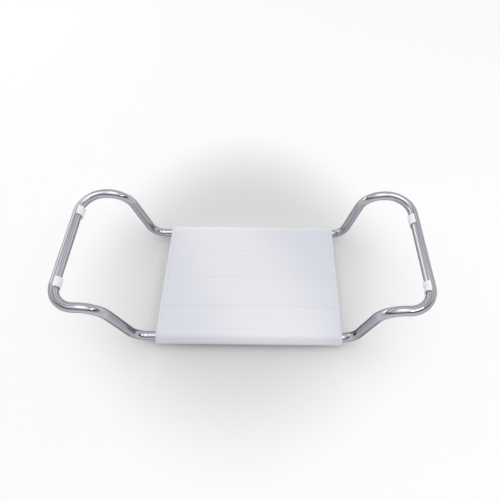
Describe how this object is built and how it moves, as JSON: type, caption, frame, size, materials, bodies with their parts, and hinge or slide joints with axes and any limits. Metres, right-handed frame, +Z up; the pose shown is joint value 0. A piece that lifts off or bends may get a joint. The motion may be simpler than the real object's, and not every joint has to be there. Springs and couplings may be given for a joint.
{
  "type": "bath seat",
  "caption": "Slatted white plastic bath seat carried between bent chrome tube frames that slide into it from each end and hook over the bath's rims, with clamp knobs below.",
  "frame": {"origin": "middle of the whole object from left to right and from front to rear, at the surface it stands on when it is set down on its four clamp knobs", "axes": "+X to the right of someone who faces the seat from its front, along the bath's width; +Y to the rear; +Z up"},
  "size_m": [0.7382, 0.3028, 0.1919],
  "materials": {
    "chrome_tube": "bright chrome plate",
    "zinc_steel": "zinc plated",
    "screw_steel": "plain stainless",
    "deck_plastic": "smooth, glossy white",
    "pad_plastic": "moulded white",
    "bush_plastic": "moulded grey",
    "knob_plastic": "fine grained dark grey"
  },
  "bodies": {
    "seat": {"front_plank": "deck_plastic", "front_middle_plank": "deck_plastic", "rear_middle_plank": "deck_plastic", "rear_plank": "deck_plastic", "left_end_cap": "deck_plastic", "right_end_cap": "deck_plastic", "front_guide_tube": "zinc_steel", "rear_guide_tube": "zinc_steel", "left_front_mouth_bush": "bush_plastic", "right_front_mouth_bush": "bush_plastic", "left_rear_mouth_bush": "bush_plastic", "right_rear_mouth_bush": "bush_plastic", "left_front_weld_nut": "zinc_steel", "right_front_weld_nut": "zinc_steel", "left_rear_weld_nut": "zinc_steel", "right_rear_weld_nut": "zinc_steel", "left_cross_bar": "zinc_steel", "right_cross_bar": "zinc_steel", "left_bar_screw_1": "screw_steel", "left_bar_screw_2": "screw_steel", "left_bar_screw_3": "screw_steel", "left_bar_screw_4": "screw_steel", "right_bar_screw_1": "screw_steel", "right_bar_screw_2": "screw_steel", "right_bar_screw_3": "screw_steel", "right_bar_screw_4": "screw_steel"},
    "left_frame": {"left_side_frame": "chrome_tube", "left_front_arm_glide": "bush_plastic", "left_rear_arm_glide": "bush_plastic", "left_front_rim_pad": "pad_plastic", "left_rear_rim_pad": "pad_plastic"},
    "right_frame": {"right_side_frame": "chrome_tube", "right_front_arm_glide": "bush_plastic", "right_rear_arm_glide": "bush_plastic", "right_front_rim_pad": "pad_plastic", "right_rear_rim_pad": "pad_plastic"},
    "left_front_lock": {"left_front_clamp_knob": "knob_plastic", "left_front_clamp_stud": "screw_steel"},
    "right_front_lock": {"right_front_clamp_knob": "knob_plastic", "right_front_clamp_stud": "screw_steel"},
    "left_rear_lock": {"left_rear_clamp_knob": "knob_plastic", "left_rear_clamp_stud": "screw_steel"},
    "right_rear_lock": {"right_rear_clamp_knob": "knob_plastic", "right_rear_clamp_stud": "screw_steel"}
  },
  "joints": [
    {"name": "left_frame_slide", "type": "slide", "parent": "seat", "child": "left_frame", "axis": [-1, 0, 0], "range_m": [-0.02, 0.03]},
    {"name": "right_frame_slide", "type": "slide", "parent": "seat", "child": "right_frame", "axis": [1, 0, 0], "range_m": [0, 0.05]},
    {"name": "left_front_knob_turn", "type": "hinge", "parent": "seat", "child": "left_front_lock", "pos_m": [-0.13, -0.1347, 0.0103], "axis": [0, 0, -1], "range_deg": [0, 360]},
    {"name": "right_front_knob_turn", "type": "hinge", "parent": "seat", "child": "right_front_lock", "pos_m": [0.15, -0.1347, 0.0103], "axis": [0, 0, -1], "range_deg": [0, 360]},
    {"name": "left_rear_knob_turn", "type": "hinge", "parent": "seat", "child": "left_rear_lock", "pos_m": [-0.13, 0.1347, 0.0103], "axis": [0, 0, -1], "range_deg": [0, 360]},
    {"name": "right_rear_knob_turn", "type": "hinge", "parent": "seat", "child": "right_rear_lock", "pos_m": [0.15, 0.1347, 0.0103], "axis": [0, 0, -1], "range_deg": [0, 360]}
  ]
}
